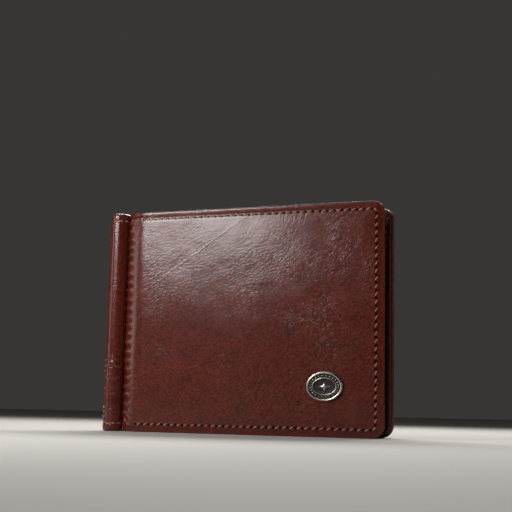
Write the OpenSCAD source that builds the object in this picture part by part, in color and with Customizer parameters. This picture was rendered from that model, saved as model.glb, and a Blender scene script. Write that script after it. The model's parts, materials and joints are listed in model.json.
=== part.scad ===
// Bifold leather wallet with a sprung metal money clip at the spine.
// It stands on its long edge: +Z is up, the spine roll is at -X and the free
// edges at +X. The front cover faces -Y and stands slightly open. Millimetres.

/* [Wallet] */
// Height of the spine roll and of both covers
wallet_h = 85; // [75:1:100]
// Width of a cover from its crease to its free edge
panel_w = 104; // [98:1:120]
// Thickness of the closed wallet over its two outer faces
spine_t = 14; // [13:0.5:18]
// Radius of the two rounded sides of the spine roll
roll_r = 4.3; // [4:0.1:5]
// Corner radius at the covers' free edges
corner_r = 4.5; // [3.5:0.5:8]
// Angle by which the front cover stands open, in degrees
rest_open = 2; // [0:0.5:5]

/* [Layers] */
// Thickness of the outer leather
leather_t = 1.1; // [0.8:0.1:1.3]
// Thickness of the turned and pared edge, and of the board beside it
hem_t = 0.8; // [0.5:0.1:1]
// Width of the turned edge
hem_w = 5; // [4:0.5:7]
// Thickness of the lining
lining_t = 0.4; // [0.2:0.1:0.5]
// Thickness of the pocket panel
pocket_panel_t = 0.5; // [0.3:0.1:0.6]
// Thickness of each card pocket
card_pocket_t = 0.5; // [0.3:0.1:0.6]
// Width over which the outer leather climbs out of the crease
ramp_w = 6; // [4:0.5:8]
// Depth of the crease below the outer face
ramp_d = 2.8; // [2:0.1:3.2]

/* [Card pockets] */
// Distance from the top edge to the mouth of the first card pocket
first_mouth = 11; // [9:0.5:16]
// Step from one pocket mouth to the next
mouth_step = 10; // [7:0.5:13]
// Distance from the crease to the card pockets
card_start = 10; // [9:0.5:12]

/* [Stitching] */
// Distance of the stitch line from the edge
stitch_inset = 3; // [2.5:0.1:3.5]
// Length from one stitch to the next
stitch_pitch = 2.8; // [2.4:0.1:4]
// Radius of the thread
thread_r = 0.28; // [0.2:0.02:0.3]
// Length from one stitch to the next in the spine seams
seam_pitch = 3.4; // [3:0.1:5]

/* [Clip] */
// Distance of the clip's hinge axis from the crease line
hinge_x = 2; // [1.8:0.1:2.6]
// Reach of the clip from its hinge axis
clip_reach = 18; // [15:0.5:22]
// Width of the clip's long bar and arms
bar_w = 4; // [3.5:0.1:5]
// Thickness of the clip's flat bar
bar_t = 1.2; // [1:0.1:1.5]
// Radius of the hinge ears on the rail
ear_r = 2; // [1.9:0.1:2.2]
// Thickness of a hinge ear
ear_t = 1; // [0.8:0.1:1.4]
// Radius of the hinge pins
pin_r = 0.95; // [0.8:0.05:1]
// Thickness of the clip rail's sheet metal
rail_t = 0.9; // [0.7:0.1:1.2]
// Radius of the rivets that hold the rail
rivet_r = 0.9; // [0.7:0.1:1.2]
// Radius of the spring wire
wire_r = 0.22; // [0.18:0.02:0.26]
// Half turns in each torsion spring
spring_half_turns = 7; // [5:2:9]

/* [Badge] */
// Width of the oval badge
badge_w = 13.6; // [10:0.2:18]
// Height of the oval badge
badge_h = 10.7; // [8:0.1:14]
// Distance from the free edge to the badge's centre
badge_from_edge = 21.7; // [16:0.1:34]
// Height of the badge's centre above the bottom edge
badge_up = 18; // [13:0.5:24]
// Thickness of the badge's plate
badge_t = 0.7; // [0.5:0.1:1]
// Height of the badge's rim above its plate
rim_h = 0.5; // [0.3:0.1:0.8]

/* [Hidden] */
$fn = 48;
past = 1; // overshoot of a cut past the face it opens

// Folds: the two creases are vertical lines at x = 0
crease_y = spine_t / 2 - ramp_d;
crease_gap = 0.3;
lining_d = leather_t + hem_t;
panel_d = lining_d + lining_t;
pocket_d = panel_d + pocket_panel_t;
edge_inset = 1.2;
board_clear = 0.3;
layer_start = ramp_w + 1.5;
panel_start = layer_start + 1;

// Stitch lines
thread_proud = 0.16;
thread_d = thread_r - thread_proud;
groove_w = 2 * thread_r + 0.14;
groove_d = thread_d + thread_r + 0.02;
stitch_start = ramp_w + 1;
stitch_gap = 0.55;
stitch_len = stitch_pitch - stitch_gap;
seam_r = 0.25;
seam_gap = 0.85;
seam_clear = 0.06;
seam_sink = 0.2;
seam_angle = 31;
end_stitch_angles = [35, 68, 101];
end_stitch_len = 2;

// Spine roll, its inner strip and the rail behind the strip
roll_y = spine_t / 2 - roll_r;
strip_half = roll_y + 0.3;
strip_t = 0.9;
strip_back = -leather_t - 0.1;
strip_face = strip_back + strip_t;
strip_end = 0.5;
rail_half = strip_half + 0.2;
rail_end = hem_w + 0.3;
rail_lip = 1.3;
rail_back = strip_back - rail_t;
rivet_head_r = 1.8;
rivet_head_t = 0.6;
rivet_tail_r = 1.5;
rivet_up = 15; // from the rail's end
rivet_z = [rail_end + rivet_up, wallet_h - rail_end - rivet_up];
fit = 0.05;
slot_clear = 0.1;

// Clip hinge, from the top downwards; the lower hinge is its mirror image
ear_top = wallet_h - rail_end;
ear_low = ear_top - ear_t;
tab_gap = 0.2;
tab_t = 1.2;
tab_r = ear_r - 0.1;
tab_top = ear_low - tab_gap;
tab_low = tab_top - tab_t;
coil_r = 1.6;
coil_step = 2 * wire_r + 0.06;
coil_top = tab_low - 0.1;
coil_h = coil_step * spring_half_turns / 2 + 2 * wire_r;
flange_top = coil_top - coil_h - 0.1;
flange_t = 0.6;
pin_head_r = 1.7;
pin_head_t = 0.6;
pin_flange_r = 1.5;
arm_start = hinge_x + coil_r + wire_r + 0.35;
clip_corner_r = 4;
window_corner_r = 1;
clip_end = hinge_x + clip_reach;
leg_reach = 6;

// Badge
badge_u = panel_w - badge_from_edge;
rim_w = 0.9;
ring_inset = 2.2; // from the badge's outline to its inner ring
ring_w = 0.45;
ring_h = 0.25;
emblem_w = 5;
emblem_h = 3.6;
prong_w = 1.2;
prong_t = 0.4;
prong_u = badge_w / 2 - 3;
backing_t = 0.3;
backing_w = badge_w - 2;
backing_h = badge_h - 3;
prong_end = lining_d - fit;

// The origin is the middle of the underside of the whole wallet's box
badge_proud = badge_t + rim_h;
edge_reach = crease_y + ramp_d * cos(rest_open) + panel_w * sin(rest_open);
badge_reach = crease_y + (ramp_d + badge_proud) * cos(rest_open)
    + (badge_u + badge_w / 2) * sin(rest_open);
front_reach = max(edge_reach, badge_reach);
back_reach = spine_t / 2 + thread_proud;
home = [roll_r - panel_w / 2, (front_reach - back_reach) / 2, 0];

leather_colour = "#6e2f20";
inner_colour = "#4a2016";
board_colour = "#8c7355";
lining_colour = "#33231d";
thread_colour = "#8a4230";
clip_colour = "#c9ccd0";
steel_colour = "#9da1a6";
badge_colour = "#8f8f8d";

// ---- Places -------------------------------------------------------------

module at_spine() {
    translate(home) children();
}

// A cover is drawn flat: x runs from the crease to the free edge and y is
// the depth below the outer face
module on_back_cover() {
    translate(home + [0, spine_t / 2, 0]) mirror([0, 1, 0]) children();
}

module on_front_cover() {
    translate(home + [0, -crease_y, 0])
        rotate([0, 0, -rest_open])
            translate([0, -ramp_d, 0]) children();
}

// Flips a piece of the upper clip hinge to the lower one
module at_lower_hinge() {
    translate([0, 0, wallet_h]) mirror([0, 0, 1]) children();
}

// ---- Covers -------------------------------------------------------------

// Outline of a cover, inset on its three outer sides
module cover_outline(start, inset) {
    r = corner_r - inset;
    far = panel_w - inset;
    translate([start, inset]) square([far - start - max(r, 0), wallet_h - 2 * inset]);
    if (r > 0) {
        translate([far - r - past, corner_r])
            square([r + past, wallet_h - 2 * corner_r]);
        for (z = [corner_r, wallet_h - corner_r])
            translate([far - r, z]) circle(r = r);
    }
}

// Turns an outline into a plate between two depths
module plate(d_from, d_to) {
    translate([0, d_to, 0]) rotate([90, 0, 0]) linear_extrude(d_to - d_from) children();
}

// A full-height layer between two depths that follows the ramp at the crease
module ramped_layer(d_from, d_to) {
    drop = ramp_d * (1 - crease_gap / ramp_w);
    linear_extrude(wallet_h)
        polygon([
            [crease_gap, drop + d_from], [ramp_w, d_from], [panel_w, d_from],
            [panel_w, d_to], [ramp_w, d_to], [crease_gap, drop + d_to]
        ]);
}

module stitch_groove() {
    plate(-past, groove_d) difference() {
        cover_outline(stitch_start, stitch_inset - groove_w / 2);
        cover_outline(stitch_start - past, stitch_inset + groove_w / 2);
    }
}

module cover_leather() {
    difference() {
        intersection() {
            plate(-past, ramp_d + lining_d + past) cover_outline(crease_gap, 0);
            union() {
                ramped_layer(0, leather_t);
                difference() {
                    ramped_layer(leather_t, lining_d);
                    translate([0, -past, hem_w])
                        cube([panel_w - hem_w, ramp_d + lining_d + 2 * past, wallet_h - 2 * hem_w]);
                }
            }
        }
        stitch_groove();
    }
}

module cover_board() {
    plate(leather_t, lining_d)
        translate([layer_start, hem_w + board_clear])
            square([panel_w - hem_w - board_clear - layer_start, wallet_h - 2 * (hem_w + board_clear)]);
}

module cover_sheet(start, d_from, thickness, top) {
    intersection() {
        plate(d_from, d_from + thickness) cover_outline(start, edge_inset);
        cube([panel_w, d_from + thickness + past, top]);
    }
}

module card_pocket(count) {
    cover_sheet(card_start, pocket_d + count * card_pocket_t, card_pocket_t,
        wallet_h - first_mouth - count * mouth_step);
}

module thread(from, turn, length) {
    translate(from) rotate(turn) cylinder(r = thread_r, h = length, center = true, $fn = 16);
}

module cover_stitches() {
    run = panel_w - corner_r - stitch_start;
    rise = wallet_h - 2 * corner_r;
    run_count = floor(run / stitch_pitch);
    rise_count = floor(rise / stitch_pitch);
    for (i = [0 : run_count - 1], z = [stitch_inset, wallet_h - stitch_inset])
        thread([stitch_start + (i + 0.5) * run / run_count, thread_d, z], [0, 90, 0], stitch_len);
    for (i = [0 : rise_count - 1])
        thread([panel_w - stitch_inset, thread_d, corner_r + (i + 0.5) * rise / rise_count],
            [0, 0, 0], stitch_len);
}

module back_leather() {
    color(leather_colour) on_back_cover() cover_leather();
}

module back_board() {
    color(board_colour) on_back_cover() cover_board();
}

module back_lining() {
    color(lining_colour) on_back_cover() cover_sheet(layer_start, lining_d, lining_t, wallet_h);
}

module back_pocket_panel() {
    color(inner_colour) on_back_cover() cover_sheet(panel_start, panel_d, pocket_panel_t, wallet_h);
}

module back_card_pocket_upper() {
    color(inner_colour) on_back_cover() card_pocket(0);
}

module back_card_pocket_middle() {
    color(inner_colour) on_back_cover() card_pocket(1);
}

module back_card_pocket_lower() {
    color(inner_colour) on_back_cover() card_pocket(2);
}

module back_stitching() {
    color(thread_colour) on_back_cover() cover_stitches();
}

module front_leather() {
    color(leather_colour) on_front_cover() difference() {
        cover_leather();
        badge_prongs(fit, prong_end);
    }
}

module front_board() {
    color(board_colour) on_front_cover() difference() {
        cover_board();
        badge_prongs(fit, prong_end);
        backing_plate(slot_clear, past);
    }
}

module front_lining() {
    color(lining_colour) on_front_cover() cover_sheet(layer_start, lining_d, lining_t, wallet_h);
}

module front_pocket_panel() {
    color(inner_colour) on_front_cover() cover_sheet(panel_start, panel_d, pocket_panel_t, wallet_h);
}

module front_card_pocket_upper() {
    color(inner_colour) on_front_cover() card_pocket(0);
}

module front_card_pocket_middle() {
    color(inner_colour) on_front_cover() card_pocket(1);
}

module front_card_pocket_lower() {
    color(inner_colour) on_front_cover() card_pocket(2);
}

module front_stitching() {
    color(thread_colour) on_front_cover() cover_stitches();
}

// ---- Badge --------------------------------------------------------------

module oval(w, h) {
    polygon([for (a = [0 : 6 : 354]) [w / 2 * cos(a), h / 2 * sin(a)]]);
}

module oval_ring(w, h, wide) {
    difference() {
        oval(w, h);
        oval(w - 2 * wide, h - 2 * wide);
    }
}

module at_badge() {
    translate([badge_u, 0, badge_up]) children();
}

// Two flat prongs through the leather, widened by a clearance on every side
module badge_prongs(clear, depth) {
    at_badge() for (side = [-1, 1])
        translate([side * prong_u - prong_t / 2 - clear, -clear, -prong_w / 2 - clear])
            cube([prong_t + 2 * clear, depth + clear, prong_w + 2 * clear]);
}

module backing_plate(clear, extra) {
    at_badge() plate(lining_d - backing_t - clear, lining_d + extra)
        square([backing_w + 2 * clear, backing_h + 2 * clear], center = true);
}

module badge() {
    color(badge_colour) on_front_cover() {
        at_badge() {
            plate(-badge_t, 0) oval(badge_w, badge_h);
            plate(-badge_proud, -badge_t) oval_ring(badge_w, badge_h, rim_w);
            plate(-badge_t - ring_h, -badge_t)
                oval_ring(badge_w - 2 * ring_inset, badge_h - 2 * ring_inset, ring_w);
            plate(-badge_t - ring_h, -badge_t)
                polygon([[-emblem_w / 2, 0], [0, -emblem_h / 2], [emblem_w / 2, 0], [0, emblem_h / 2]]);
        }
        badge_prongs(0, prong_end);
    }
}

module badge_backing_plate() {
    color(steel_colour) on_front_cover() difference() {
        backing_plate(0, 0);
        badge_prongs(fit, lining_d + past);
    }
}

// ---- Spine --------------------------------------------------------------

// Section through the roll: two round sides joined by a flat back and front
module roll_section(r) {
    for (side = [-1, 1])
        translate([-roll_r, side * roll_y]) circle(r = r);
    translate([-roll_r - r, -roll_y]) square([2 * r, 2 * roll_y]);
}

// Places a stitch on the front round side of the roll, at an angle from +X
module on_roll(angle, z) {
    translate([-roll_r, -roll_y, z])
        rotate([0, 0, -angle])
            translate([roll_r - seam_sink, 0, 0]) children();
}

module seam_stitches(wider) {
    rise = wallet_h - 2 * hem_w;
    count = floor(rise / seam_pitch);
    r = seam_r + wider;
    for (i = [0 : count - 1])
        on_roll(seam_angle, hem_w + (i + 0.5) * rise / count)
            cylinder(r = r, h = seam_pitch - seam_gap + 2 * wider, center = true, $fn = 16);
    for (angle = end_stitch_angles, z = [stitch_inset, wallet_h - stitch_inset])
        on_roll(angle, z) rotate([90, 0, 0])
            cylinder(r = r, h = end_stitch_len + 2 * wider, center = true, $fn = 16);
}

module spine_leather() {
    color(leather_colour) at_spine() difference() {
        linear_extrude(wallet_h) roll_section(roll_r);
        translate([0, 0, -past])
            linear_extrude(wallet_h + 2 * past) roll_section(roll_r - leather_t - hem_t);
        translate([0, 0, hem_w])
            linear_extrude(wallet_h - 2 * hem_w) roll_section(roll_r - leather_t);
        translate([-roll_r, -strip_half, -past])
            cube([roll_r + past, 2 * strip_half, wallet_h + 2 * past]);
        seam_stitches(seam_clear);
        mirror([0, 1, 0]) seam_stitches(seam_clear);
    }
}

module spine_seam_front() {
    color(thread_colour) at_spine() seam_stitches(0);
}

module spine_seam_back() {
    color(thread_colour) at_spine() mirror([0, 1, 0]) seam_stitches(0);
}

module ear(clear) {
    translate([0, 0, ear_low - clear]) linear_extrude(ear_t + 2 * clear) {
        translate([hinge_x, 0]) circle(r = ear_r + clear);
        translate([rail_back, -ear_r - clear]) square([hinge_x - rail_back, 2 * (ear_r + clear)]);
    }
}

module rivet_shafts(clear) {
    for (z = rivet_z)
        translate([rail_back - past, 0, z]) rotate([0, 90, 0])
            cylinder(r = rivet_r + clear, h = strip_face - rail_back + 2 * past);
}

module spine_inner_strip() {
    color(inner_colour) at_spine() difference() {
        translate([strip_back, -strip_half, strip_end])
            cube([strip_t, 2 * strip_half, wallet_h - 2 * strip_end]);
        ear(slot_clear);
        at_lower_hinge() ear(slot_clear);
        rivet_shafts(fit);
    }
}

module clip_rail() {
    color(steel_colour) at_spine() difference() {
        union() {
            translate([rail_back, -rail_half, rail_end])
                cube([rail_t, 2 * rail_half, wallet_h - 2 * rail_end]);
            for (side = [-rail_half, rail_half - rail_t])
                translate([rail_back - rail_lip, side, rail_end])
                    cube([rail_lip + rail_t / 2, rail_t, wallet_h - 2 * rail_end]);
            ear(0);
            at_lower_hinge() ear(0);
        }
        translate([hinge_x, 0, 0]) cylinder(r = pin_r + fit, h = wallet_h);
        rivet_shafts(fit);
    }
}

module rail_rivets() {
    color(steel_colour) at_spine() for (z = rivet_z)
        translate([0, 0, z]) rotate([0, 90, 0]) {
            translate([0, 0, strip_face]) cylinder(r = rivet_head_r, h = rivet_head_t);
            translate([0, 0, rail_back]) cylinder(r = rivet_r, h = strip_face - rail_back);
            translate([0, 0, rail_back - rivet_head_t]) cylinder(r = rivet_tail_r, h = rivet_head_t);
        }
}

// ---- Clip ---------------------------------------------------------------

// Outline of the clip's frame, inset on its three outer sides
module frame_outline(inset, r) {
    top = tab_top - inset;
    low = wallet_h - top;
    far = clip_end - inset;
    translate([arm_start, low]) square([far - r - arm_start, top - low]);
    translate([far - r - past, low + r]) square([r + past, top - low - 2 * r]);
    for (z = [low + r, top - r])
        translate([far - r, z]) circle(r = r);
}

module hinge_tab() {
    translate([0, 0, tab_low]) linear_extrude(tab_t) difference() {
        union() {
            translate([hinge_x, 0]) circle(r = tab_r);
            translate([hinge_x, -tab_r]) square([arm_start - hinge_x + bar_t, 2 * tab_r]);
        }
        translate([hinge_x, 0]) circle(r = pin_r);
    }
}

module clip_frame() {
    color(clip_colour) at_spine() {
        translate([0, bar_t / 2, 0]) rotate([90, 0, 0]) linear_extrude(bar_t) difference() {
            frame_outline(0, clip_corner_r);
            frame_outline(bar_w, window_corner_r);
            translate([arm_start - past, wallet_h - tab_top + bar_w])
                square([2 * past, 2 * tab_top - wallet_h - 2 * bar_w]);
        }
        hinge_tab();
        at_lower_hinge() hinge_tab();
    }
}

module clip_pin() {
    translate([hinge_x, 0, 0]) {
        translate([0, 0, ear_top]) cylinder(r = pin_head_r, h = pin_head_t);
        translate([0, 0, flange_top]) cylinder(r = pin_r, h = ear_top - flange_top);
        translate([0, 0, flange_top - flange_t]) cylinder(r = pin_flange_r, h = flange_t);
    }
}

module clip_pin_upper() {
    color(steel_colour) at_spine() clip_pin();
}

module clip_pin_lower() {
    color(steel_colour) at_spine() at_lower_hinge() clip_pin();
}

// Torsion spring: a leg on the strip, the coil round the pin and a leg on the arm
coil_sides = 6;
coil_points = 8; // in each half turn
leg_z = coil_top - coil_h + wire_r;
spring_path = concat(
    [[strip_face + wire_r, coil_r, leg_z]],
    [for (i = [0 : spring_half_turns * coil_points])
        let (a = 90 - 180 * i / coil_points)
        [hinge_x + coil_r * cos(a), coil_r * sin(a), leg_z + coil_step / 2 * i / coil_points]],
    [[arm_start + 1, -bar_t / 2 - wire_r - fit, leg_z + coil_step / 2 * spring_half_turns],
     [arm_start + leg_reach, -bar_t / 2 - wire_r - fit, leg_z + coil_step / 2 * spring_half_turns]]
);

function unit(v) = v / norm(v);

function heading(path, i) =
    unit(path[min(i + 1, len(path) - 1)] - path[max(i - 1, 0)]);

function wire_ring(path, i) =
    let (along = heading(path, i), side = unit(cross(along, [0, 0, 1])), up = cross(side, along))
    [for (k = [0 : coil_sides - 1])
        path[i] + wire_r * (cos(360 * k / coil_sides) * side + sin(360 * k / coil_sides) * up)];

module wire(path) {
    n = coil_sides;
    last = len(path) - 1;
    points = [for (i = [0 : last]) each wire_ring(path, i)];
    walls = [for (i = [0 : last - 1], k = [0 : n - 1])
        [i * n + k, (i + 1) * n + k, (i + 1) * n + (k + 1) % n, i * n + (k + 1) % n]];
    near_end = [for (k = [0 : n - 1]) k];
    far_end = [for (k = [n - 1 : -1 : 0]) last * n + k];
    polyhedron(points, concat([near_end], walls, [far_end]));
}

module clip_spring_upper() {
    color(steel_colour) at_spine() wire(spring_path);
}

module clip_spring_lower() {
    color(steel_colour) at_spine() at_lower_hinge() wire(spring_path);
}

spine_leather();
spine_inner_strip();
spine_seam_front();
spine_seam_back();
clip_rail();
rail_rivets();
clip_spring_upper();
clip_spring_lower();
clip_frame();
clip_pin_upper();
clip_pin_lower();
front_leather();
front_board();
front_lining();
front_pocket_panel();
front_card_pocket_upper();
front_card_pocket_middle();
front_card_pocket_lower();
front_stitching();
badge();
badge_backing_plate();
back_leather();
back_board();
back_lining();
back_pocket_panel();
back_card_pocket_upper();
back_card_pocket_middle();
back_card_pocket_lower();
back_stitching();
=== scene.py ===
import json
import math

import bmesh
import bpy
from mathutils import Matrix, Vector, noise


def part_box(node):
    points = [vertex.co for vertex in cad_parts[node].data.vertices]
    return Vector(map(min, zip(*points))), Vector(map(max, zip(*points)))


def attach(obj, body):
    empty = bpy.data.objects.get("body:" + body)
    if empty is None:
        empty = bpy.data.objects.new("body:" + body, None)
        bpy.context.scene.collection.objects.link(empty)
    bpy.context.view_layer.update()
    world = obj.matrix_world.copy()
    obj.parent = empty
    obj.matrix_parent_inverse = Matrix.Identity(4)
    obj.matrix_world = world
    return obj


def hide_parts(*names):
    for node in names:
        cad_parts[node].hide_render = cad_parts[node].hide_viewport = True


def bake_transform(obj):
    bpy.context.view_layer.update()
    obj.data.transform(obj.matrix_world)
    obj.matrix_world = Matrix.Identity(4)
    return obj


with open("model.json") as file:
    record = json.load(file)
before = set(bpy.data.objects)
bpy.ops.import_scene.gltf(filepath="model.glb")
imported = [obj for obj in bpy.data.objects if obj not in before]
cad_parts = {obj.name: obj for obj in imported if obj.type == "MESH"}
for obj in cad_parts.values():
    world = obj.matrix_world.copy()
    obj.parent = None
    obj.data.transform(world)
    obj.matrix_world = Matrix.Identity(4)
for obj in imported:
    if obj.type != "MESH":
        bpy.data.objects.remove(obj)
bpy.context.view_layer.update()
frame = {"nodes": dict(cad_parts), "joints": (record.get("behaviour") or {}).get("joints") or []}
print("frame loaded:", len(frame["nodes"]), "pieces")

# Everything below is worked in millimetres and scaled when a piece is finished
mm = 0.001
joints = {joint["name"]: joint for joint in frame["joints"]}
frontAxis = Vector(joints["front_fold"]["pos_m"]) / mm
backAxis = Vector(joints["back_fold"]["pos_m"]) / mm
clipAxis = Vector(joints["clip_swing"]["pos_m"]) / mm


def boxOf(node):
    low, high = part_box(node)
    return low / mm, high / mm


spineLow, _ = boxOf("spine_leather")
_, backHigh = boxOf("back_leather")

wallet = {
    "height": backHigh.z,
    "width": backHigh.x - backAxis.x,
    "halfThickness": backHigh.y - clipAxis.y,
    "creaseDepth": backHigh.y - backAxis.y,
    "rollRadius": (backAxis.x - spineLow.x) / 2,
    "restOpen": -math.radians(joints["front_fold"]["range_deg"][0]),
    "cornerRadius": 4.5,
    "stitchInset": 3.0,
    "stitchStart": 7.0,
    "stitchPitch": 2.8,
}

# A cover is drawn flat as (distance from the crease, depth below its outer face, height)
backPlace = Matrix.Translation((backAxis.x, backHigh.y, 0)) @ Matrix.Diagonal((1, -1, 1, 1))
frontPlace = (
    Matrix.Translation((frontAxis.x, frontAxis.y, 0))
    @ Matrix.Rotation(-wallet["restOpen"], 4, "Z")
    @ Matrix.Translation((0, -wallet["creaseDepth"], 0))
)
# The spine is drawn about the line half way between the two creases
spinePlace = Matrix.Translation((backAxis.x, clipAxis.y, 0))


def boxBySpine(node):
    return [corner - spinePlace.translation for corner in boxOf(node)]


def soften(value, start, end):
    # 0 before start, 1 after end, and a smooth step between them
    share = min(1.0, max(0.0, (value - start) / (end - start)))
    return share * share * (3 - 2 * share)


def hump(value, width):
    return math.exp(-((value / width) ** 2))


def ripple(x, y, size, seed):
    return noise.noise(Vector((x / size, y / size, seed)))


def linearColour(hexText):
    channels = [int(hexText[k : k + 2], 16) / 255 for k in (1, 3, 5)]
    return [c / 12.92 if c <= 0.04045 else ((c + 0.055) / 1.055) ** 2.4 for c in channels] + [1]


def addNode(tree, kind, settings=None, links=None):
    # settings are the node's own properties or its inputs, links are sockets by input name or number
    node = tree.nodes.new(kind)
    for name, value in (settings or {}).items():
        if isinstance(name, int) or (name in node.inputs and not hasattr(node, name)):
            node.inputs[name].default_value = value
        else:
            setattr(node, name, value)
    for name, socket in (links or {}).items():
        tree.links.new(socket, node.inputs[name])
    return node


def newMaterial(name, surface):
    # surface holds the shader's fixed values
    material = bpy.data.materials.new(name)
    material.use_nodes = True
    tree = material.node_tree
    tree.nodes.clear()
    shader = addNode(tree, "ShaderNodeBsdfPrincipled", surface)
    addNode(tree, "ShaderNodeOutputMaterial", links={"Surface": shader.outputs[0]})
    return material, tree, shader


# What both leathers share: sizes in mm, shares of a pebble's width, and noise values between which a
# pattern comes in
grain = {
    "driftScale": 0.45,
    "drift": 1.6,
    "pebbleSlope": 0.24,
    "lineWidth": 0.18,
    # darker grain lines and lighter pebble tops: partly dye, partly painted shade and painted highlight
    "lineDyeAndShade": 0.5,
    "topToneAndHighlight": 1.06,
    "poreSize": 0.22,
    "poreDepth": 0.006,
    "patchSize": 24,
    "patchRange": (0.38, 0.62),
    "creaseWidth": 0.32,
    "creasePatch": 15,
    "creaseRange": (0.52, 0.58),
    "cloudSize": 9,
    "plainRange": (0.3, 0.7),
    "holeRange": (0.38, 0.68),
    # painted shade inside the needle holes
    "holeShadeColour": "#150705",
    "edgeToneRange": (2.0, 3.0),
}


def leatherMaterial(name, looks):
    # Vegetable-tanned calf, aniline dyed and waxed: a deep uneven colour under a soft gloss
    surface = {
        "IOR": 1.5,
        "Specular IOR Level": 0.04,
        "Coat Weight": looks["wax"],
        "Coat Roughness": looks["waxRoughness"],
        "Coat IOR": 1.45,
    }
    material, tree, shader = newMaterial(name, surface)
    place = addNode(tree, "ShaderNodeAttribute", {"attribute_name": "hidePlace"}).outputs["Vector"]
    # the hide's fibres run on a slant, so its grain is drawn longer that way
    slanted = addNode(
        tree,
        "ShaderNodeMapping",
        {
            "vector_type": "TEXTURE",
            "Rotation": (0, math.radians(-looks["grainAngle"]), 0),
            "Scale": (looks["grainStretch"], 1.0, 1.0),
        },
        {"Vector": place},
    ).outputs[0]
    drift = addNode(
        tree,
        "ShaderNodeTexNoise",
        {"Scale": grain["driftScale"], "Detail": 2.0, "Roughness": 0.5},
        {"Vector": slanted},
    )
    bent = addNode(
        tree,
        "ShaderNodeVectorMath",
        {"operation": "MULTIPLY_ADD", 1: [grain["drift"]] * 3},
        {0: drift.outputs["Color"], 2: slanted},
    ).outputs[0]
    pebbles = addNode(
        tree,
        "ShaderNodeTexVoronoi",
        {"feature": "DISTANCE_TO_EDGE", "Scale": 1 / looks["grainSize"]},
        {"Vector": bent},
    ).outputs["Distance"]
    pebbleTops = addNode(
        tree,
        "ShaderNodeMapRange",
        {"interpolation_type": "SMOOTHSTEP", 1: 0.0, 2: grain["pebbleSlope"]},
        {0: pebbles},
    ).outputs[0]
    wrinkles = addNode(
        tree,
        "ShaderNodeTexNoise",
        {"Scale": 1 / looks["wrinkleSize"], "Detail": 3.0, "Roughness": 0.5, "Distortion": 0.5},
        {"Vector": slanted},
    ).outputs[0]
    pores = addNode(
        tree,
        "ShaderNodeTexNoise",
        {"Scale": 1 / grain["poreSize"], "Detail": 3.0, "Roughness": 0.6},
        {"Vector": place},
    ).outputs[0]
    # how strongly the grain shows differs over the hide
    patches = addNode(
        tree,
        "ShaderNodeTexNoise",
        {"Scale": 1 / grain["patchSize"], "Detail": 2.0, "Roughness": 0.5},
        {"Vector": place},
    ).outputs[0]
    low, high = grain["patchRange"]
    grainShow = addNode(
        tree, "ShaderNodeMapRange", {1: low, 2: high, 3: looks["grainLeast"], 4: 1.0}, {0: patches}
    ).outputs[0]
    # a few long fine creases, where a large cell border passes through a patch that has them
    creaseCells = addNode(
        tree,
        "ShaderNodeTexVoronoi",
        {"feature": "DISTANCE_TO_EDGE", "Scale": 1 / looks["creaseCell"]},
        {"Vector": bent},
    ).outputs["Distance"]
    width = grain["creaseWidth"] / looks["creaseCell"]
    creaseLine = addNode(
        tree,
        "ShaderNodeMapRange",
        {"interpolation_type": "SMOOTHSTEP", 1: 0.0, 2: width, 3: 1.0, 4: 0.0},
        {0: creaseCells},
    ).outputs[0]
    creaseWhere = addNode(
        tree, "ShaderNodeTexNoise", {"Scale": 1 / grain["creasePatch"], "Detail": 1.0}, {"Vector": bent}
    ).outputs[0]
    low, high = grain["creaseRange"]
    creaseSome = addNode(tree, "ShaderNodeMapRange", {1: low, 2: high}, {0: creaseWhere}).outputs[0]
    creases = addNode(
        tree, "ShaderNodeMath", {"operation": "MULTIPLY"}, {0: creaseLine, 1: creaseSome}
    ).outputs[0]
    # colour: dye pools in a dark tone, mid tone over most, and a lighter one on the wrinkle tops that is
    # partly wear and partly a painted highlight
    clouds = addNode(
        tree,
        "ShaderNodeTexNoise",
        {"Scale": 1 / grain["cloudSize"], "Detail": 6.0, "Roughness": 0.65},
        {"Vector": place},
    ).outputs[0]
    low, high = grain["plainRange"]
    cloudShare = addNode(tree, "ShaderNodeMapRange", {1: low, 2: high}, {0: clouds}).outputs[0]
    dyed = addNode(
        tree,
        "ShaderNodeMix",
        {"data_type": "RGBA", 6: linearColour(looks["deep"]), 7: linearColour(looks["mid"])},
        {0: cloudShare},
    ).outputs[2]
    wearAndHighlightShare = addNode(
        tree, "ShaderNodeMath", {"operation": "MULTIPLY", 1: looks["worn"]}, {0: wrinkles}
    ).outputs[0]
    toned = addNode(
        tree,
        "ShaderNodeMix",
        {"data_type": "RGBA", 7: linearColour(looks["light"])},
        {0: wearAndHighlightShare, 6: dyed},
    ).outputs[2]
    # the lines between the pebbles are darker and the pebble tops lighter: partly dye lying in the lines,
    # partly painted shade in the lines and a painted highlight on the tops
    lineDyeAndShade = addNode(
        tree,
        "ShaderNodeMapRange",
        {
            "interpolation_type": "SMOOTHSTEP",
            1: 0.0,
            2: grain["lineWidth"],
            3: grain["lineDyeAndShade"],
            4: grain["topToneAndHighlight"],
        },
        {0: pebbles},
    ).outputs[0]
    toned = addNode(
        tree, "ShaderNodeVectorMath", {"operation": "SCALE"}, {0: toned, "Scale": lineDyeAndShade}
    ).outputs[0]
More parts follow.
